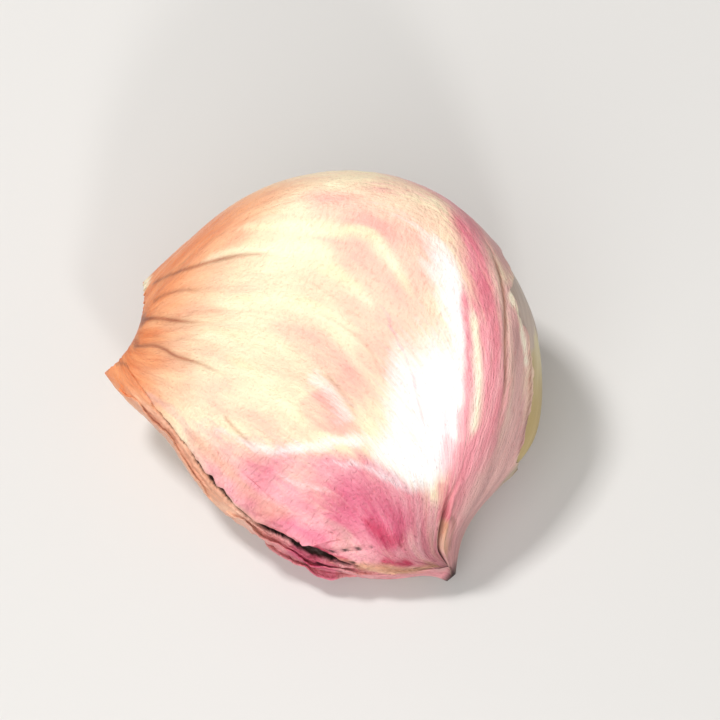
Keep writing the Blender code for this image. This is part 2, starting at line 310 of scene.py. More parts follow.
# Distance in millimetres from every point to a line drawn on the clove, and how far along the
# line its nearest place is.
def nearLine(points, line):
    places = drawn(line)
    smooth = naturalSpline(np.linspace(0, 1, len(places)), places)(np.linspace(0, 1, 6 * len(places)))
    route = formPoints(smooth[:, 0], smooth[:, 1])
    closest = np.full(len(points), 1e9)
    share = np.zeros(len(points))
    for i in range(len(route) - 1):
        leg = route[i + 1] - route[i]
        part = np.clip((points - route[i]) @ leg / (leg @ leg), 0, 1)
        distance = np.linalg.norm(points - route[i] - part[:, None] * leg, axis=1)
        nearer = distance < closest
        closest[nearer] = distance[nearer]
        share[nearer] = (i + part[nearer]) / (len(route) - 1)
    return closest, share


# A brush stroke: full strength on the line, fading over the width, thinner to both its ends.
def stroke(points, line, width, strength=1.0, taper=0.15):
    distance, share = nearLine(points, line)
    ends = thinned(share, taper, taper)
    spread = width * (0.35 + 0.65 * ends)
    return strength * np.exp(-(distance / spread) ** 2) * (0.12 + 0.88 * ends)


def layered(*masks):
    clear = 1.0
    for mask in masks:
        clear = clear * (1 - np.clip(mask, 0, 1))
    return 1 - clear


# Where the drawing lies in the frame: leaned back, and set in the middle of the solid's box.
def placeInFrame(points):
    lean = math.radians(clove["lean"])
    turned = points @ np.array(Matrix.Rotation(lean, 3, "X")).T
    return turned + drawingShift


along, around = np.meshgrid(np.linspace(0, 1, 120), np.linspace(0, 1, 160), indexing="ij")
drawingShift = np.zeros(3)
turned = placeInFrame(formPoints(along, around).reshape(-1, 3))
low, high = (np.array(corner) / mm for corner in cadBox)
drawingShift = np.append(((low + high - turned.min(0) - turned.max(0)) / 2)[:2],
                         high[2] - turned[:, 2].max())
print("frame: drawing shifted by", drawingShift.round(3), "mm")


# A setting is a property by its name, or an input by its name or number. A link is named for the
# input that it goes to, or n0, n1 and so on for an input by its number. It hands back one output.
def addNode(tree, kind, settings=None, out=0, **links):
    node = tree.nodes.new("ShaderNode" + kind)
    for key, value in (settings or {}).items():
        if isinstance(key, str) and hasattr(node, key):
            setattr(node, key, value)
        else:
            node.inputs[key].default_value = value
    for key, source in links.items():
        socket = node.inputs[int(key[1:])] if key[0] == "n" and key[1:].isdigit() else node.inputs[key]
        tree.links.new(source, socket)
    return node.outputs[out]


def srgb(code):
    values = [int(code[i:i + 2], 16) / 255 for i in (1, 3, 5)]
    return (*[v / 12.92 if v <= 0.04045 else ((v + 0.055) / 1.055) ** 2.4 for v in values], 1.0)


def startMaterial(name, settings):
    material = bpy.data.materials.new(name)
    material.use_nodes = True
    shader = material.node_tree.nodes["Principled BSDF"]
    for key, value in settings.items():
        shader.inputs[key].default_value = value
    return material, material.node_tree, shader.inputs


def smoothed(mesh):
    mesh.shade_smooth()
    mesh.set_sharp_from_angle(angle=math.radians(50))


def meshFrom(name, points, faces):
    mesh = bpy.data.meshes.new(name)
    mesh.from_pydata((points * mm).tolist(), [], faces)
    work = bmesh.new()
    work.from_mesh(mesh)
    bmesh.ops.recalc_face_normals(work, faces=work.faces)
    work.to_mesh(mesh)
    work.free()
    smoothed(mesh)
    piece = bpy.data.objects.new(name, mesh)
    bpy.context.scene.collection.objects.link(piece)
    return piece


# Faces of a stack of closed rings.
def ringFaces(rings, columns, start=0):
    faces = []
    for first in range(start, start + (rings - 1) * columns, columns):
        for j in range(columns):
            k = (j + 1) % columns
            faces.append((first + j, first + k, first + columns + k, first + columns + j))
    return faces


# The same with a fan at each end, round two points more.
def tubeFaces(rings, columns):
    faces = ringFaces(rings, columns)
    last = (rings - 1) * columns
    for j in range(columns):
        k = (j + 1) % columns
        faces.append((rings * columns, k, j))
        faces.append((rings * columns + 1, last + j, last + k))
    return faces


def storeValues(mesh, name, values, kind="FLOAT"):
    attribute = mesh.attributes.get(name) or mesh.attributes.new(name, kind, "POINT")
    part = "value" if kind == "FLOAT" else "vector"
    attribute.data.foreach_set(part, np.ascontiguousarray(values, np.float32).ravel())


veinLines = (       # strength, line
    (0.75, ((26, 414), (114, 361), (192, 334), (298, 326), (400, 322))),
    (0.55, ((60, 335), (106, 322), (160, 304), (200, 294), (316, 287))),
    (0.95, ((0, 318), (50, 285), (122, 256), (196, 234), (312, 225))),
    (0.8, ((30, 165), (114, 181), (170, 162), (222, 151), (330, 142), (430, 130))),
    (0.6, ((0, 31), (40, 76), (90, 82))),
    (0.45, ((420, 94), (444, 90), (488, 86), (530, 83), (580, 82))),
    (0.22, ((480, 282), (512, 280), (588, 278), (650, 258), (694, 243))),
    (0.18, ((540, 208), (584, 206), (632, 197), (676, 184))),
    (0.22, ((50, 380), (130, 372), (230, 368), (340, 372), (450, 380))),
    (0.2, ((100, 215), (180, 196), (300, 188), (400, 180))),
    (0.18, ((170, 255), (260, 250), (370, 256), (470, 262))),
    (0.16, ((260, 300), (380, 306), (480, 303), (560, 292), (640, 272))),
    (0.28, ((558, 213), (602, 200), (644, 188), (682, 183))),
)
cracks = (          # line, width in mm and strength of the painted shade in it, width and height in mm of its fold
    (((742, 59), (752, 63), (768, 65)), 0.07, 0.8, 0.12, -0.12),
    (((764, 51), (792, 54), (814, 63), (832, 72), (850, 88)), 0.1, 1.0, 0.16, -0.22),
    (((806, 43), (828, 47), (850, 55)), 0.13, 1.0, 0.17, -0.24),
    (((674, 21), (712, 12), (744, 13)), 0.16, 0.9, 0.2, -0.3),
    (((780, 30), (822, 20), (855, 11)), 0.16, 0.9, 0.2, -0.3),
)
strokes = {         # what is painted: line, width in mm, strength, share that thins out at each end
    "peach": (
        (((394, 371), (468, 361), (542, 354), (598, 348), (644, 337)), 2.6, 0.55, 0.35),
        (((400, 345), (500, 338), (580, 322), (650, 290)), 3.2, 0.5, 0.35),
        (((520, 300), (612, 300), (656, 269), (682, 230)), 3.0, 0.52, 0.25),
        (((430, 240), (580, 232), (640, 195)), 3.0, 0.45, 0.35),
        (((300, 380), (370, 371), (450, 362), (526, 356), (590, 353), (634, 348)), 1.1, 0.8, 0.25),
        (((376, 339), (448, 341), (510, 337), (566, 330), (606, 319)), 0.9, 0.6, 0.25),
        (((480, 308), (564, 305), (608, 304), (660, 285)), 1.2, 0.45, 0.25),
        (((394, 233), (454, 242), (542, 247), (586, 238), (652, 197)), 1.0, 0.72, 0.25),
        (((550, 182), (594, 170), (624, 156), (645, 138)), 1.7, 0.9, 0.15),
        (((250, 130), (380, 110), (500, 105), (580, 110)), 1.6, 0.45, 0.3),
    ),
    "cream": (
        (((178, 370), (306, 351), (454, 349), (552, 345), (640, 326)), 0.55, 0.75, 0.25),
        (((138, 353), (234, 331), (430, 325), (542, 314), (588, 300)), 0.65, 0.7, 0.25),
        (((200, 268), (318, 267), (420, 279), (536, 274), (628, 236)), 0.7, 0.8, 0.25),
        (((300, 176), (402, 163), (482, 147), (550, 133), (608, 119)), 0.8, 0.7, 0.25),
        (((180, 205), (300, 205), (420, 215), (500, 215)), 0.8, 0.7, 0.25),
    ),
    # the pearly white of the skin, with its broad highlight painted in as white
    "pearlAndHighlight": (
        (((610, 338), (704, 312), (746, 286), (792, 262), (842, 272)), 2.7, 0.7, 0.25),
        (((660, 334), (720, 306), (760, 280), (800, 264), (842, 274)), 1.4, 0.85, 0.25),
        (((590, 322), (658, 290), (696, 248), (730, 213), (768, 199)), 1.3, 0.7, 0.4),
        (((690, 336), (740, 322), (780, 305), (835, 280)), 1.1, 0.85),
        (((470, 372), (602, 363), (652, 356), (696, 348), (800, 315)), 1.0, 0.85, 0.3),
        (((516, 191), (566, 191), (614, 181), (652, 166)), 0.8, 0.45),
        (((476, 81), (558, 87), (590, 100), (628, 116), (664, 146), (700, 185)), 0.6, 0.6),
        (((390, 81), (476, 80), (544, 84)), 0.5, 0.35),
        (((640, 100), (700, 124), (760, 152), (820, 196)), 0.3, 0.5, 0.3),
        (((680, 160), (735, 188), (785, 210), (845, 258)), 1.3, 0.8, 0.25),
        (((560, 72), (640, 77), (700, 85), (760, 93)), 0.28, 0.4, 0.3),
        (((770, 430), (830, 417), (854, 403), (878, 389)), 0.8, 0.3),
    ),
    "rose": (
        (((554, 346), (610, 338), (664, 329), (710, 314), (756, 298)), 0.22, 0.22, 0.3),
        (((552, 322), (596, 314), (640, 304), (682, 291), (722, 276), (768, 258)), 0.16, 0.5, 0.2),
        (((408, 388), (468, 391), (522, 392), (564, 385)), 1.3, 0.3, 0.35),
        (((720, 318), (770, 300), (830, 285)), 0.25, 0.3, 0.3),
        (((642, 365), (678, 357), (720, 347), (762, 340), (815, 335)), 0.4, 0.9),
        (((560, 410), (610, 400), (646, 391), (682, 381), (712, 372)), 1.25, 0.95, 0.2),
        (((660, 385), (736, 380), (772, 383), (810, 389), (838, 390), (880, 390)), 1.3, 0.95),
        (((690, 370), (740, 366), (790, 364), (840, 370)), 0.8, 0.8),
        (((762, 345), (800, 350), (830, 358), (870, 368)), 1.0, 0.75),
        (((800, 330), (830, 340), (870, 330), (930, 345)), 0.6, 0.7),
        (((260, 446), (400, 440), (514, 434), (596, 420), (636, 408), (674, 400)), 1.9, 0.95, 0.5),
        (((360, 470), (480, 460), (578, 450), (628, 445), (664, 428), (700, 412)), 1.6, 0.9, 0.4),
        (((300, 500), (420, 492), (540, 485), (620, 480)), 0.9, 0.45, 0.5),
        (((820, 372), (870, 380), (930, 400), (1000, 420)), 2.0, 0.95, 0.04),
    ),
    "magenta": (
        (((670, 92), (734, 100), (785, 112), (840, 138), (900, 210)), 1.9, 0.75, 0.25),
        (((680, 77), (745, 79), (802, 89), (842, 109), (890, 165)), 1.2, 0.6, 0.25),
        (((600, 56), (660, 53), (712, 54), (756, 56), (818, 56)), 0.8, 0.65, 0.35),
        (((700, 36), (740, 32), (774, 33), (810, 23), (850, 16)), 0.8, 0.9),
    ),
    "crimson": (
        (((762, 89), (802, 98), (848, 115), (904, 150)), 0.7, 0.8, 0.3),
        (((734, 46), (796, 49), (838, 51)), 0.5, 0.8),
        (((870, 72), (912, 90), (940, 132)), 0.6, 0.85, 0.25),
        (((830, 270), (870, 300), (920, 315)), 0.5, 0.5),
    ),
    "ash": (
        (((100, 60), (216, 64), (316, 62), (402, 58)), 0.35, 0.5),
        (((670, 418), (764, 423), (804, 436), (838, 446), (880, 440), (960, 430)), 1.9, 1.0, 0.05),
        (((830, 455), (894, 470), (936, 482), (985, 485)), 1.6, 0.95, 0.05),
        (((880, 425), (940, 430), (1000, 430)), 1.4, 0.75, 0.04),
        (((690, 70), (744, 70), (784, 69), (820, 67)), 0.4, 0.55, 0.3),
        (((500, 462), (578, 460), (628, 455), (664, 436), (694, 418)), 1.5, 0.75, 0.3),
    ),
    "ochre": (
        (((0, 400), (120, 395), (250, 395), (400, 400)), 2.6, 0.65, 0.45),
    ),
    "husk": (
        (((840, 46), (890, 50), (930, 60), (962, 75), (976, 206)), 0.6, 1.0),
        (((300, 62), (400, 61), (500, 59), (600, 57)), 0.75, 0.7, 0.3),
        (((905, 336), (930, 352), (956, 366), (986, 366)), 0.42, 1.0, 0.25),
        (((780, 46), (850, 50), (900, 55)), 0.35, 0.6),
        (((500, 58), (576, 55), (644, 55), (700, 56)), 0.8, 0.5, 0.3),
    ),
    "moss": (
        (((860, 478), (900, 486), (930, 492), (978, 498)), 0.9, 0.75, 0.3),
    ),
    "rim": (
        (((668, 368), (712, 359), (748, 355), (782, 352), (812, 350)), 0.42, 0.95),
        (((690, 434), (699, 414), (714, 418), (742, 426), (772, 444)), 0.28, 1.0, 0.05),
    ),
    # dark brown: the two marks at the root are the skin's own; the others are painted shade in a hollow
    # fold, along the torn edge and beside the keel at the tip
    "brownAndShade": (
        (((600, 420), (652, 414), (682, 408), (712, 401), (750, 395), (790, 401),
          (835, 405)), 0.18, 0.85, 0.25),
        (((765, 440), (792, 449), (822, 459), (860, 468), (898, 478)), 0.15, 0.75),
        (((0, 310), (30, 290), (70, 272)), 0.6, 0.6, 0.3),
        (((0, 200), (40, 190), (80, 180)), 0.55, 0.45, 0.3),
        (((895, 352), (940, 384), (985, 388)), 0.24, 0.6),
    ),
    # painted shade: the cracks are darkened as if in shadow
    "tipBrownAndCrackShade": [crack[:3] for crack in cracks],
}
folds = (           # line, width in mm, height in mm, below nought for a hollow
    (((730, 95), (784, 97), (834, 112)), 0.9, -0.16),
    (((704, 74), (750, 73), (800, 76), (852, 94)), 0.5, -0.12),
    (((600, 420), (652, 414), (712, 401), (750, 395), (790, 401), (835, 405)), 0.22, -0.08),
    (((500, 405), (596, 402), (678, 395), (750, 384)), 0.5, 0.06),
    (((658, 302), (710, 281), (764, 262), (818, 254)), 0.25, 0.05),
    (((642, 363), (678, 355), (720, 346), (762, 339), (815, 334)), 0.3, 0.06),
    (((735, 405), (742, 415), (748, 432)), 0.14, -0.05),
    (((765, 405), (768, 418), (772, 440)), 0.14, -0.05),
    (((812, 400), (815, 425), (820, 455)), 0.14, -0.05),
    (((508, 72), (548, 82), (580, 96), (666, 139), (708, 185)), 0.6, 0.06),
    (((762, 89), (802, 100), (848, 118), (904, 150)), 0.3, 0.08),
    (((764, 57), (790, 61), (812, 70), (832, 80)), 0.25, 0.1),
    (((640, 30), (720, 26), (790, 38), (850, 36)), 0.3, 0.14),
    (((300, 62), (400, 61), (500, 59), (600, 57)), 0.6, 0.07),
    *[(crack[0], *crack[3:]) for crack in cracks],
)
washLine = ((300, 55), (370, 76), (470, 86), (548, 88), (620, 105), (670, 128), (720, 153), (760, 176),
            (800, 203), (840, 243), (872, 298), (1000, 328))
creaseLine = ((830, 350), (870, 315), (950, 325), (1000, 320))
tearOutline = ((636, 475), (662, 445), (690, 436), (698, 417), (714, 421), (728, 422), (742, 429),
               (772, 447), (834, 465), (898, 479), (935, 495), (915, 540), (870, 552), (845, 580),
               (790, 590), (760, 612), (700, 596), (660, 575), (640, 530))


# The share round at which a line that runs along the clove lies, for every share along.
def aroundOf(line, along):
    return np.interp(along, *drawn(line).T)


drySkin = {
    "thickness": 0.16,      # mm
    "rings": 288,
    "crowding": 0.35,       # how much closer they stand at both ends
    "innerRings": 56,
    # from one share round to the next, how many columns
    "columns": ((0.0, 0.025, 4), (0.025, 0.095, 44), (0.095, 0.30, 64), (0.30, 0.38, 34),
                (0.38, 0.50, 40), (0.50, 0.66, 34), (0.66, 0.94, 34), (0.94, 1.0, 12)),
    "hollowEnd": 0.988,     # how far along it is hollow
    "floorGap": 0.10,       # from its inner face to the floor, mm
    "flutes": 9,
    "fluteHeight": 0.04,    # mm
    "ribHeight": 0.035,
    "crinkles": (0.055, 0.085),     # height everywhere, and what the blush adds to it, mm
    "pebbles": (0.030, 0.04),
    "threadHeight": 0.06,
    "veinHeight": 0.05,
    "veinGroove": 0.03,
    "creaseDepth": 0.50,    # of the crease at the tip, mm
    "keelHeight": 0.28,     # of the keel beside it, mm
    "tearLift": 0.30,       # how far the torn edge curls up, mm
    "tearReach": 1.1,       # how far back from the edge the curl begins, mm
    "tearJag": (0.0030, 0.0028),    # how ragged the edge is, as shares along and round
    "plugHeights": (1.3, -1.0),     # of the plug that cuts the tear, mm
    "splitBow": 0.009,      # how far round the split bows past the middle, as a share
    "splitTurn": 0.045,     # and how far it turns at the root
    "splitWander": 0.0016,
    "slitWidth": 0.12,      # half the width of the dark slit along it, mm
    "slitGape": 0.11,       # how much more that is past the middle, mm
    "slitUneven": 0.07,     # mm
    "slitDepth": 0.62,      # mm
    "lipHeight": 0.14,      # of the lip above the slit, mm
    "rimJag": 0.012,        # how ragged the rim at the root is, as a share of the way along
    "rimReach": 0.06,       # how far up from the rim it still is
}


def tornEdge():
    outline = drawn(tearOutline)
    steps = np.linspace(0, 1, 14, endpoint=False)[:, None]
    edge = np.concatenate([a + (b - a) * steps for a, b in zip(outline, np.roll(outline, -1, axis=0))])
    grain = grainSpace(edge[:, 0], edge[:, 1])
    edge[:, 0] += drySkin["tearJag"][0] * grainNoise(grain, "tearAlong")
    edge[:, 1] += drySkin["tearJag"][1] * grainNoise(grain, "tearAround")
    return edge, outline.mean(0)


def splitPlace(along, grain):
    bow = drySkin["splitBow"] * hump(along, 0.62, 0.08)
    turn = drySkin["splitTurn"] * smoothStep(0.22, 0.0, along)
    wander = drySkin["splitWander"] * grainNoise(grain * (0, 0, 1), "splitWander")
    return clove["splitAround"] - bow + turn + wander


def slitWidth(along, grain):
    gape = drySkin["slitGape"] * faded(along, "gape")
    uneven = drySkin["slitUneven"] * grainNoise(grain * (0, 0, 1), "slitUneven")
    return drySkin["slitWidth"] + gape + uneven


# Large forms that both faces of the skin follow.
def largeRelief(points, along, around, grain):
    turn = 2 * math.pi * (drySkin["flutes"] * around + 0.6 * along)
    height = drySkin["fluteHeight"] * faded(along, "flutes") * np.sin(turn)
    above = (around - splitPlace(along, grain)) * clove["girth"]
    ventral = faded(along, "split")
    height -= drySkin["slitDepth"] * ventral * hump(above, 0, slitWidth(along, grain))
    lip = smoothStep(0.05, 0.30, above) * smoothStep(1.6, 0.3, above)
    height += drySkin["lipHeight"] * ventral * lip
    tip = faded(along, "tip")
    crease = aroundOf(creaseLine, along)
    height -= drySkin["creaseDepth"] * tip * hump(around, crease, 0.012)
    height += drySkin["keelHeight"] * tip * hump(around, crease + 0.028, 0.014)
    edge, _ = tornEdge()
    corners = formPoints(*edge.T)[::2]
    distance = np.min([np.linalg.norm(points - corner, axis=1) for corner in corners], axis=0)
    curl = smoothStep(drySkin["tearReach"], 0, distance) ** 1.5
    uneven = np.clip(0.65 + 0.5 * grainNoise(grain, "curl"), 0.15, 1.2)
    inward = 0.35 + 0.65 * faded(along, "curl")
    return height + drySkin["tearLift"] * curl * uneven * inward


# For every vein, its strength at the points, thinning out to both its ends, and how far off it is.
def nearVeins(points, rootEnd, tipEnd):
    for strength, line in veinLines:
        distance, share = nearLine(points, line)
        yield strength * thinned(share, rootEnd, tipEnd), distance


# Veins, ribs, crinkles and small folds of the outer face.
def fineRelief(points, along, around, grain):
    height = drySkin["ribHeight"] * grainNoise(grain, "ribs")
    blush = smoothStep(0.45, 0.7, along) * smoothStep(0.24, 0.12, around)
    for name in ("crinkles", "pebbles"):
        least, more = drySkin[name]
        height += (least + more * blush) * (0.10 - np.abs(grainNoise(grain, name)))
    strip = layered(smoothStep(0.050, 0.040, around), smoothStep(0.94, 0.97, around))
    height += drySkin["threadHeight"] * strip * grainNoise(grain, "edgeThreads")
    for strength, distance in nearVeins(points, 0.1, 0.4):
        height += strength * drySkin["veinHeight"] * hump(distance, 0, 0.45)
        height -= strength * drySkin["veinGroove"] * hump(distance, 0, 0.16)
    for line, width, rise in folds:
        height += stroke(points, line, width, rise)
    return height * smoothStep(0, 0.06, along) * smoothStep(1.0, 0.95, along)


def makeDrySkin():
    columns = np.concatenate([np.linspace(a, b, count, endpoint=False)
                              for a, b, count in drySkin["columns"]])
    shares = np.linspace(0, 1, drySkin["rings"])
    crowded = 0.5 - 0.5 * np.cos(math.pi * shares)
    shares = drySkin["crowding"] * crowded + (1 - drySkin["crowding"]) * shares
    innerShares = np.linspace(0, drySkin["hollowEnd"], drySkin["innerRings"])
    faces = [np.meshgrid(rows, columns, indexing="ij") for rows in (shares[::-1], innerShares)]
    places = [np.stack([grid.ravel() for grid in pair], -1) for pair in faces]
    layers = []
    for place, inside in zip(places, (False, True)):
        along, around = place.T
        grain = grainSpace(along, around)
        ragged = np.abs(grainNoise(grain * (1, 1, 0), "rimJag")) * smoothStep(drySkin["rimReach"], 0, along)
        along = along + drySkin["rimJag"] * ragged
        base = formPoints(along, around)
        height = largeRelief(base, along, around, grain)
        if inside:
            height -= drySkin["thickness"]
        else:
            height += fineRelief(base, along, around, grain)
        layers.append(raisedPoints(along, around, height))
    points = np.concatenate(layers)
    tip = points[:len(columns)].mean(0)
    deep = points[-len(columns):].mean(0)
    world = placeInFrame(np.concatenate([points, [tip, deep]]))
    lowest = np.zeros(len(world))
    lowest[len(places[0]):-2] = drySkin["floorGap"]
    world[:, 2] = np.maximum(world[:, 2], lowest)
    rings = drySkin["rings"] + drySkin["innerRings"]
    piece = meshFrom("drySkin", world, tubeFaces(rings, len(columns)))
    known = np.concatenate(places + [[(1, 0.2), (1, 0.2)]])
    return piece, world, known


# A plug with the outline of the tear, from above the skin to below it: the skin is cut with it.
def makeTearPlug():
    edge, centre = tornEdge()
    rings = []
    for height, shares in zip(drySkin["plugHeights"], ((0.3, 0.65, 1.0), (1.0, 0.65, 0.3))):
        for share in shares:
            place = centre + (edge - centre) * share
            rings.append(raisedPoints(place[:, 0], place[:, 1], np.full(len(place), height)))
    ends = [raisedPoints(centre[0], centre[1], height) for height in drySkin["plugHeights"]]
    points = placeInFrame(np.concatenate(rings + [ends]))
    return meshFrom("tearPlug", points, tubeFaces(len(rings), len(edge)))


# Cut the piece with the tool for good, and delete the tool.
def cutWith(piece, tool):
    cut = piece.modifiers.new("cut", "BOOLEAN")
    cut.operation, cut.solver, cut.object = "DIFFERENCE", "MANIFOLD", tool
    bpy.context.view_layer.update()
    built = piece.evaluated_get(bpy.context.evaluated_depsgraph_get())
    mesh = bpy.data.meshes.new_from_object(built)
    piece.modifiers.clear()
    old, piece.data = piece.data, mesh
    bpy.data.meshes.remove(old)
    bpy.data.objects.remove(tool)
    mesh.materials.clear()
    smoothed(mesh)


# The place on the clove of every corner of a cut piece, from the nearest corner before the cut.
def placesOf(piece, world, known):
    tree = KDTree(len(world))
    for i, point in enumerate(world):
        tree.insert(point, i)
    tree.balance()
    nearest = [tree.find(vertex.co / mm)[1] for vertex in piece.data.vertices]
    return known[nearest]


# The hidden flank is coloured as the seen one: its places round are folded back onto it.
def seenAround(around):
    return np.interp(around % 1.0, (0.0, 0.5, 0.66, 0.97, 1.0), (0.0, 0.5, 0.36, 0.045, 0.0))


# The pigments, painted highlight and painted shade laid on as strokes, weaker on the hidden flank.
def strokeMasks(moved, still, hidden):
    masks = {}
    for name, lines in strokes.items():
        points = still if name in ("tipBrownAndCrackShade", "brownAndShade") else moved
        masks[name] = layered(*[stroke(points, *line) for line in lines])
    for name in ("rose", "magenta", "crimson", "brownAndShade", "rim", "tipBrownAndCrackShade"):
        masks[name] *= 1 - 0.45 * hidden
    return masks


def paintSkin(mesh, known, slit=1.0):
    along, around = known.T
    grain = grainSpace(along, around)
    seen = seenAround(around)
    shifted = np.clip(along + 0.012 * grainNoise(grain, "strokeShift"), 0, 1)
    swayed = np.clip(seen + 0.0045 * grainNoise(grain, "strokeSway"), 0, 1)
    still = formPoints(along, seen)
    hidden = faded(around, "hiddenFlank")
    masks = strokeMasks(formPoints(shifted, swayed), still, hidden)
    masks["vein"] = layered(*[strength * (0.80 * hump(distance, 0, 0.13) + 0.34 * hump(distance, 0, 0.55))
                              for strength, distance in nearVeins(still, 0.05, 0.45)])
    drift = 0.018 * grainNoise(grain, "stainDrift")
    rootward = 0.95 * smoothStep(0.27, 0.02, along + 2 * drift)
    masks["ochre"] = layered(masks["ochre"], rootward, 0.5 * smoothStep(0.42, 0.1, along))
    masks["ochre"] *= 1 - 0.2 * hidden
    blush = smoothStep(-0.026, 0.026, aroundOf(washLine, along) - seen + drift)
    blush *= smoothStep(0.20, 0.58, along + 1.6 * drift) * (0.96 + 0.22 * grainNoise(grain, "blushPatches"))
    strip = smoothStep(0.050, 0.040, seen)
    masks["husk"] = layered(masks["husk"], strip * faded(along, "huskStrip"))
    masks["blush"] = layered(blush * (1 - 0.6 * strip), 0.8 * strip * smoothStep(0.50, 0.75, along))
    corner = faded(around, "rimCorner") * smoothStep(0.035, 0.0, along)
    masks["cream"] = layered(masks["cream"], corner)
    masks["rim"] = layered(masks["rim"], 0.5 * corner)
    # Painted shadow: the slit and the cracks are coloured near black where they lie in shade; the dried tip
    # is dark brown of itself.
    aside = np.abs(seen - splitPlace(along, grain)) * clove["girth"]
    gap = faded(along, "slit") * smoothStep(1.15, 0.75, aside / slitWidth(along, grain))
    masks["tipBrownAndCrackShade"] = layered(slit * masks["tipBrownAndCrackShade"], slit * gap, smoothStep(0.988, 1.002, along))
    masks["shade"] = smoothStep(0.80, 0.97, along) * hump(seen, aroundOf(creaseLine, along), 0.012)
    for name, values in masks.items():
        storeValues(mesh, name, np.clip(values, 0, 1))
    storeValues(mesh, "grain", grain, "FLOAT_VECTOR")


skinPaints = {    # paler tone, deeper tone, how much the threads fray its edge
    "ochre": ("#F79F66", "#E47F48", 0.12),
    "peach": ("#FAC8B2", "#F2AEA2", 0.4),
    "cream": ("#FFF6D4", "#FFF0C2", 0.6),
    "blush": ("#F9AEB6", "#EC8C9A", 0.5),
    "magenta": ("#EA6E90", "#CE4870", 0.6),
    # pearly white with a painted highlight: pure white stands in for the shine
    "pearlAndHighlight": ("#FFFFFF", "#FFFCFA", 0.9),
    "rose": ("#FBACB3", "#E47C8C", 0.8),
    "ash": ("#E9B6B0", "#CE9A98", 0.4),
    "crimson": ("#DE4468", "#BE2650", 0.7),
    "husk": ("#F5BD9E", "#DC9E80", 0.5),
    "moss": ("#AEA284", "#7E7A60", 0.5),
    "rim": ("#FFF6DE", "#FBE9C4", 0.3),
    "vein": ("#BC744E", "#98563C", 0.15),
    # dark brown marks at the root, and painted shade in a fold, along the torn edge and beside the keel
    "brownAndShade": ("#A86E58", "#82503F", 0.3),
    "shade": ("#9C5A50", "#7A4040", 0.2),
    # the dried tip's own dark brown, and painted shade in the slit and the cracks
    "tipBrownAndCrackShade": ("#3E2A24", "#1E1310", 0.1),
}
paperGrain = (  # name, mm across the threads, mm along them, detail, roughness of the pattern
    ("fibre", 0.18, 1.8, 4, 0.6),       # threads, 0.05 mm apart in real skin: coarser so that they show
    ("mottle", 1.3, 4.5, 3, 0.5),       # patches of deeper colour between the veins, as large as real
    ("leather", 0.32, 0.46, 4, 0.6),    # wrinkles, 0.2 mm apart in real skin: coarser so that they show
    ("scaly", 0.20, 0.30, 3, 0.6),      # dried cells, 0.1 mm across in real skin: coarser too
)


# Dried bulb skin: thin, fibrous and slightly waxy, so it shows fine lengthwise threads, a
# leathery crinkle and a broad soft shine.
def papery():
    material, tree, look = startMaterial("dried papery bulb skin", {"IOR": 1.47, "Sheen Weight": 0.05})
    grain = addNode(tree, "Attribute", {"attribute_name": "grain"}, "Vector")
    noise = {}
    for name, wide, long, detail, rough in paperGrain:
        sizes = addNode(tree, "Mapping", {"Scale": (1 / wide, 1 / wide, 1 / long)}, Vector=grain)
        noise[name] = addNode(tree, "TexNoise", {"Scale": 1.0, "Detail": detail, "Roughness": rough},
                              Vector=sizes)
    tone = addNode(tree, "MapRange", {"From Min": 0.35, "From Max": 0.65}, Value=noise["mottle"])
    colour = addNode(tree, "Mix", {"data_type": "RGBA", 6: srgb("#FFF0CA"), 7: srgb("#FCDCBC")}, 2, n0=tone)
    thread = addNode(tree, "MapRange", {"From Min": 0.50, "From Max": 0.80, "To Max": 0.18},
                     Value=noise["fibre"])
    colour = addNode(tree, "Mix", {"data_type": "RGBA", 7: srgb("#F8CDB4")}, 2, n0=thread, n6=colour)
    loose = addNode(tree, "Math", {"operation": "SUBTRACT", 1: 0.5}, n0=noise["fibre"])
    masks = {}
    for name, (pale, deep, fray) in skinPaints.items():
        masks[name] = addNode(tree, "Attribute", {"attribute_name": name}, "Fac")
        frayed = addNode(tree, "Math", {"operation": "MULTIPLY_ADD", 1: fray}, n0=loose, n2=masks[name])
        amount = addNode(tree, "MapRange", {"From Min": 0.08 + 0.12 * fray, "From Max": 0.95}, Value=frayed)
        stain = addNode(tree, "Mix", {"data_type": "RGBA", 6: srgb(pale), 7: srgb(deep)}, 2, n0=tone)
        colour = addNode(tree, "Mix", {"data_type": "RGBA"}, 2, n0=amount, n6=colour, n7=stain)
    # Painted shade: the hollow cells of the scaly pattern, which the bump below sinks, are darkened in the
    # colour.
    sunk = addNode(tree, "MapRange", {"From Min": 0.46, "From Max": 0.28, "To Max": 0.30},
                   Value=noise["scaly"])
    colour = addNode(tree, "Mix", {"data_type": "RGBA", "blend_type": "MULTIPLY", 7: srgb("#F0A8A0")}, 2,
                     n0=sunk, n6=colour)
    tree.links.new(colour, look["Base Color"])
    dull = addNode(tree, "MapRange", {"To Min": 0.37, "To Max": 0.30}, Value=masks["pearlAndHighlight"])
    tree.links.new(dull, look["Roughness"])
    crinkle = addNode(tree, "MapRange", {"To Min": 0.6, "To Max": 1.0}, Value=masks["blush"])
    normal = addNode(tree, "Bump", {"Strength": 0.7, "Distance": 0.07 * mm}, Height=noise["fibre"])
    for name, depth in (("leather", 0.22), ("scaly", 0.14)):
        normal = addNode(tree, "Bump", {"Distance": depth * mm}, Strength=crinkle, Height=noise[name],
                         Normal=normal)
    tree.links.new(normal, look["Normal"])
    return material


skin, skinWorld, skinPlaces = makeDrySkin()
cutWith(skin, makeTearPlug())
paintSkin(skin.data, placesOf(skin, skinWorld, skinPlaces))
paperySkin = papery()
skin.data.materials.append(paperySkin)
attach(skin, "root")
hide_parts("papery_skin")
print("dry skin:", sum(len(face.vertices) - 2 for face in skin.data.polygons), "triangles")

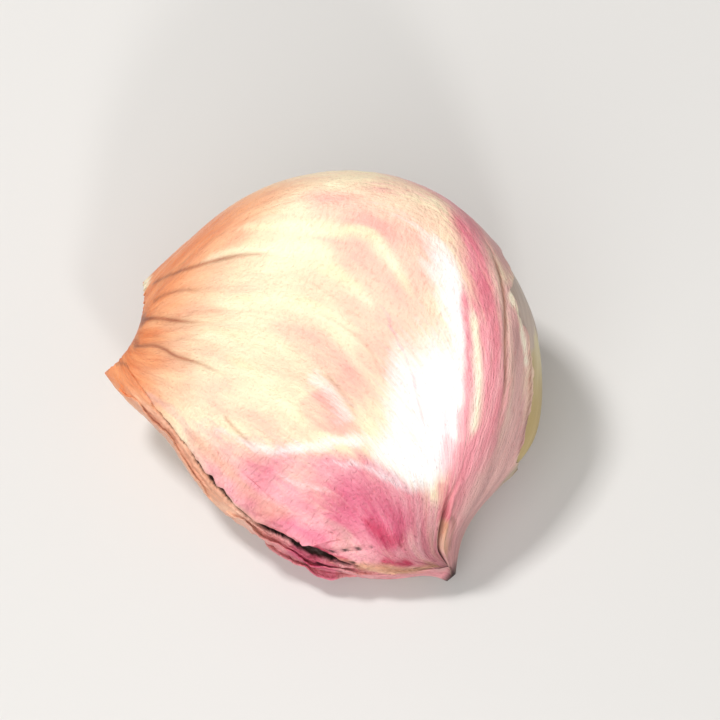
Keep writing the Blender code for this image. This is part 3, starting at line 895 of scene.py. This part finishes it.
firmFlesh = {
    "inset": 0.28,          # below the outside of the skin, mm
    "start": 0.022,         # how far along it starts
    "end": 0.975,
    "rings": 150,
    "columns": 150,
    "dish": 0.9,            # depth of the scar at the root, mm
    "filmRise": 0.07,       # mm
    "swellHeight": 0.04,
    "ribHeight": 0.025,
    "grooveDepth": 0.60,    # under the slit of the skin, mm
    "grooveWidth": 0.8,     # mm
    "scarRings": 26,
    "scarRough": 0.16,      # mm
    "floorGap": 0.30,       # mm
}


# The thin film, from 0 to 1, that still clings to the flesh in the upper part of the torn window.
def tornFilm(along, around, grain):
    torn = faded(along, "film") * faded(around, "filmRound")
    edge = along + 0.020 * grainNoise(grain, "filmEdge") + 0.22 * (around - 0.45)
    return torn * smoothStep(0.790, 0.775, edge)


def makeFirmFlesh():
    columns = np.linspace(0, 1, firmFlesh["columns"], endpoint=False)
    shares = np.linspace(firmFlesh["start"], firmFlesh["end"], firmFlesh["rings"])
    along, around = (grid.ravel() for grid in np.meshgrid(shares, columns, indexing="ij"))
    grain = grainSpace(along, around)
    base = formPoints(along, around)
    tip = faded(along, "tip")
    height = firmFlesh["filmRise"] * tornFilm(along, around, grain) - firmFlesh["inset"]
    height += firmFlesh["swellHeight"] * grainNoise(grain, "fleshSwell")
    height += firmFlesh["ribHeight"] * grainNoise(grain, "fleshRibs")
    height -= drySkin["creaseDepth"] * tip * hump(around, aroundOf(creaseLine, along), 0.02)
    aside = (around - splitPlace(along, grain)) * clove["girth"]
    height -= firmFlesh["grooveDepth"] * hump(aside, 0, firmFlesh["grooveWidth"])
    points = raisedPoints(along, around, height).reshape(len(shares), len(columns), 3)
    inward = np.append(rootAxis(), 0)
    middle = points[0].mean(0)
    turn = 2 * math.pi * columns
    circle = np.stack([np.cos(turn), np.sin(turn), np.zeros_like(turn)], -1)
    # along runs from -1 in the middle of the scar to 0 at its rim
    scar, places = [], []
    for share in np.linspace(0.06, 0.97, firmFlesh["scarRings"]):
        ring = middle + (points[0] - middle) * share + inward * firmFlesh["dish"] * (1 - share ** 2.4)
        rough = firmFlesh["scarRough"] * grainNoise(9 * share * circle, "scarRough")
        ring = ring + inward * rough[:, None]
        scar.append(ring)
        places.append(np.stack([np.full(len(columns), share - 1), columns], -1))
    rings = np.concatenate([scar, points])
    ends = [middle + inward * firmFlesh["dish"], points[-1].mean(0)]
    world = placeInFrame(np.concatenate([rings.reshape(-1, 3), ends]))
    world[:, 2] = np.maximum(world[:, 2], firmFlesh["floorGap"])
    piece = meshFrom("firmFlesh", world, tubeFaces(len(rings), len(columns)))
    known = np.concatenate(places + [np.stack([along, around], -1), [(-1, 0), (1, 0)]])
    return piece, known


def paintFlesh(mesh, known):
    along, around = known.T
    grain = grainSpace(along, around)
    storeValues(mesh, "scar", smoothStep(0.035, 0.015, along))
    storeValues(mesh, "ring", faded(along, "scarRing"))
    edge = along + 0.03 * grainNoise(grain, "oliveEdge")
    storeValues(mesh, "olive", 0.9 * smoothStep(0.74, 0.84, edge) * faded(around, "oliveRound"))
    storeValues(mesh, "film", tornFilm(along, around, grain))
    storeValues(mesh, "grain", grain, "FLOAT_VECTOR")


# Fresh clove flesh: dense, moist and a little translucent, under a thin dull film where the
# skin has torn, with a corky scar where the clove grew on its base.
def fleshy():
    material, tree, look = startMaterial("firm clove flesh", {
        "IOR": 1.40, "Subsurface Weight": 0.15, "Subsurface Radius": (1.0, 0.6, 0.3),
        "Subsurface Scale": 0.8 * mm})
    grain = addNode(tree, "Attribute", {"attribute_name": "grain"}, "Vector")
    # vessels 0.35 mm apart
    sizes = addNode(tree, "Mapping", {"Scale": (1 / 0.35, 1 / 0.35, 1 / 2.5)}, Vector=grain)
    streak = addNode(tree, "TexNoise", {"Scale": 1.0, "Detail": 4.0}, Vector=sizes)
    place = addNode(tree, "TexCoord", out="Object")
    # cork cells 0.03 mm wide, drawn ten times coarser so that they show
    cork = addNode(tree, "TexVoronoi", {"Scale": 1 / (0.3 * mm)}, "Distance", Vector=place)
    colour = addNode(tree, "Mix", {"data_type": "RGBA", 6: srgb("#F4E8C2"), 7: srgb("#E3D09E")}, 2,
                     n0=streak)
    masks = {}
    for name, pale, deep, pattern in (
        ("olive", "#CFB67C", "#AA9058", streak),
        ("film", "#F0DECE", "#B89C8E", streak),
        ("scar", "#C79B6C", "#8E623E", cork),
        ("ring", "#8A5A38", "#5E3A24", cork),
    ):
        masks[name] = addNode(tree, "Attribute", {"attribute_name": name}, "Fac")
        stain = addNode(tree, "Mix", {"data_type": "RGBA", 6: srgb(pale), 7: srgb(deep)}, 2, n0=pattern)
        colour = addNode(tree, "Mix", {"data_type": "RGBA"}, 2, n0=masks[name], n6=colour, n7=stain)
    tree.links.new(colour, look["Base Color"])
    dull = addNode(tree, "MapRange", {"To Min": 0.42, "To Max": 0.8}, Value=masks["scar"])
    tree.links.new(dull, look["Roughness"])
    streaked = addNode(tree, "Bump", {"Strength": 0.6, "Distance": 0.08 * mm}, Height=streak)
    tree.links.new(streaked, look["Normal"])
    return material


flesh, fleshPlaces = makeFirmFlesh()
paintFlesh(flesh.data, fleshPlaces)
flesh.data.materials.append(fleshy())
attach(flesh, "root")
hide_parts("clove_flesh")
print("firm flesh:", len(flesh.data.polygons), "faces")

looseSkin = {
    "thickness": 0.11,      # mm
    "steps": 110,
    "across": 7,
    "thinEnd": 0.18,        # share of its length over which it narrows at each end
    "grainLength": 40,      # how long its edge is for the patterns, mm
    "ragged": 0.22,         # how uneven the width is, as a share
    "fray": 0.07,
    "sunk": 0.08,           # how deep the held edge lies in the skin, mm
    "grainHeight": 0.03,
    "floorGap": 0.05,       # mm
    "strips": (             # line of the held edge, width to the free edge in mm, lift in mm, seed
        (((440, 66), (564, 63), (642, 60), (712, 62), (790, 66)), -0.75, 0.34, 1),
        (((560, 16), (640, 14), (740, 18), (820, 22), (900, 34)), 1.1, 0.52, 2),
        (((660, -12), (740, -6), (810, -2), (880, 8)), 1.1, 0.48, 3),
        (((620, 34), (700, 32), (770, 34), (840, 40)), 0.6, 0.34, 4),
        (((60, 16), (166, 18), (296, 16), (428, 12), (520, 8)), 1.1, 0.26, 5),
    ),
}


def makeLooseSkin():
    steps, across = looseSkin["steps"], looseSkin["across"]
    points, places, faces = [], [], []
    for line, width, lift, seed in looseSkin["strips"]:
        share = np.linspace(0, 1, steps)
        route = naturalSpline(np.linspace(0, 1, len(line)), drawn(line))(share)
        taper = thinned(share, looseSkin["thinEnd"], looseSkin["thinEnd"])
        wander = np.stack([share * looseSkin["grainLength"], np.zeros(steps), np.zeros(steps)], -1)
        ragged = looseSkin["ragged"] * grainNoise(wander, "stripRagged", seed)
        frayed = looseSkin["fray"] * grainNoise(wander, "stripFray", seed)
        reach = width / clove["girth"] * taper * (0.9 + ragged + frayed)
        wave = np.clip(0.75 + 0.5 * grainNoise(wander, "stripWave", seed), 0.35, 1.2)
        out = np.linspace(0, 1, across)
        along = np.repeat(route[:, :1], across, 1)
        around = (route[:, 1:] + reach[:, None] * out) % 1.0
        rise = (0.10 + lift * (taper * wave))[:, None] * out ** 1.5 - looseSkin["sunk"]
        rise += looseSkin["grainHeight"] * grainNoise(grainSpace(along, around), "stripGrain", seed)
        thick = looseSkin["thickness"] * np.minimum(1, 0.25 + 2.5 * taper)[:, None]
        top = raisedPoints(along, around, rise + thick / 2)
        under = raisedPoints(along, around, rise - thick / 2)[:, ::-1]
        start = sum(len(part) for part in points)
        loop = 2 * across
        points.append(np.concatenate([top, under], 1).reshape(-1, 3))
        pair = np.stack([along, around], -1)
        places.append(np.concatenate([pair, pair[:, ::-1]], 1).reshape(-1, 2))
        faces += ringFaces(steps, loop, start)
        faces.append(tuple(range(start, start + loop))[::-1])
        faces.append(tuple(range(start + (steps - 1) * loop, start + steps * loop)))
    world = placeInFrame(np.concatenate(points))
    world[:, 2] = np.maximum(world[:, 2], looseSkin["floorGap"])
    return meshFrom("looseSkin", world, faces), np.concatenate(places)


loose, loosePlaces = makeLooseSkin()
paintSkin(loose.data, loosePlaces, slit=0)
loose.data.materials.append(paperySkin)
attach(loose, "root")
print("loose skin:", len(loose.data.polygons), "faces")

driedTip = {
    "shreds": 11,
    "start": 0.985,         # how far along the clove they grow
    "hang": (0.10, -0.75, 0.0),     # which way they lean on the page
    "length": 0.85,         # mm
    "width": 0.15,
    "pointWidth": 0.015,
    "flatness": 0.45,
    "twist": 0.8,           # from end to end, radians
    "sides": 6,
    "steps": 9,
}


def makeDriedTip():
    draw = np.random.default_rng(7)
    sides, steps = driedTip["sides"], driedTip["steps"]
    turn = np.linspace(0, 2 * math.pi, sides, endpoint=False)
    middle = formPoints(driedTip["start"], np.linspace(0, 1, 12, endpoint=False)).mean(0)
    points, places, faces = [], [], []
    for shred in range(driedTip["shreds"]):
        spread = (shred + 0.5) / driedTip["shreds"]
        start = formPoints(driedTip["start"], spread)
        lean = (start - middle) * 0.25 + np.array(driedTip["hang"]) + draw.normal(0, 0.12, 3)
        lean = lean / np.linalg.norm(lean) * driedTip["length"] * draw.uniform(0.6, 1.0)
        bend = draw.normal(0, 0.16, 3)
        flat = draw.uniform(0, math.pi)
        base = len(points) * (sides * steps + 2)
        rings = []
        for i in range(steps):
            share = i / (steps - 1)
            centre = middle + (start - middle) * 0.75 * (1 - share) + lean * share + bend * share ** 2
            size = driedTip["width"] * (1 - share) ** 0.7 + driedTip["pointWidth"]
            flattened = np.sin(turn) * driedTip["flatness"]
            across = size * np.stack([np.cos(turn), np.zeros(sides), flattened], -1)
            spin = np.array(Matrix.Rotation(flat + driedTip["twist"] * share, 3, "Y"))
            rings.append(centre + across @ spin.T)
            places += [(0.990 + 0.008 * share, spread)] * sides
        places += [(0.990, spread), (0.998, spread)]
        points.append(np.concatenate([np.concatenate(rings), [rings[0].mean(0), rings[-1].mean(0)]]))
        faces += [tuple(base + corner for corner in face) for face in tubeFaces(steps, sides)]
    world = placeInFrame(np.concatenate(points))
    return meshFrom("driedTip", world, faces), np.array(places)


tip, tipPlaces = makeDriedTip()
paintSkin(tip.data, tipPlaces, slit=0)
tip.data.materials.append(paperySkin)
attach(tip, "root")
print("dried tip:", len(tip.data.polygons), "faces")

studio = {
    "frameWidth": 49.9,     # what the picture spans at the clove, mm
    "middle": (2.08, 1.04, 0.0),    # the drawing's place in the middle of the picture, mm
    "distance": 450.0,      # mm
    "floorSize": 3.0,       # m
    "daylight": 0.31,
    "lamps": (              # name, place and size in m, watts
        ("key", (-0.17, 0.12, 0.38), 0.07, 1.15),
        ("fill", (-0.11, -0.29, 0.30), 0.40, 0.85),
        ("shine", (0.06, -0.30, 0.22), 0.05, 0.34),
    ),
}


def makeStudio():
    lens = bpy.data.cameras.new("camera")
    lens.sensor_width = 36
    lens.lens = 36 * studio["distance"] / studio["frameWidth"]
    lens.clip_start, lens.clip_end = 0.01, 20
    camera = bpy.data.objects.new("camera", lens)
    bpy.context.scene.collection.objects.link(camera)
    camera.rotation_euler = (math.radians(clove["lean"]), 0, 0)
    spot = np.array(studio["middle"]) + (0, 0, studio["distance"])
    camera.location = Vector(placeInFrame(spot[None])[0] * mm)
    bpy.context.scene.camera = camera

    bpy.ops.mesh.primitive_plane_add(size=studio["floorSize"])
    floor = bpy.context.object
    floor.name = "floor"
    card, _, _ = startMaterial("matt card", {"Base Color": srgb("#DAD8D5"), "Roughness": 0.9})
    floor.data.materials.append(card)

    world = bpy.data.worlds.new("studio")
    bpy.context.scene.world = world
    world.use_nodes = True
    sky = world.node_tree.nodes["Background"]
    sky.inputs["Color"].default_value = srgb("#F4F2EF")
    sky.inputs["Strength"].default_value = studio["daylight"]
    for name, place, size, power in studio["lamps"]:
        light = bpy.data.lights.new(name, "AREA")
        light.size, light.energy = size, power
        lamp = bpy.data.objects.new(name, light)
        lamp.location = place
        lamp.rotation_euler = (-Vector(place)).to_track_quat("-Z", "Y").to_euler()
        bpy.context.scene.collection.objects.link(lamp)
    bpy.context.scene.view_settings.view_transform = "Standard"


makeStudio()
print("studio ready")
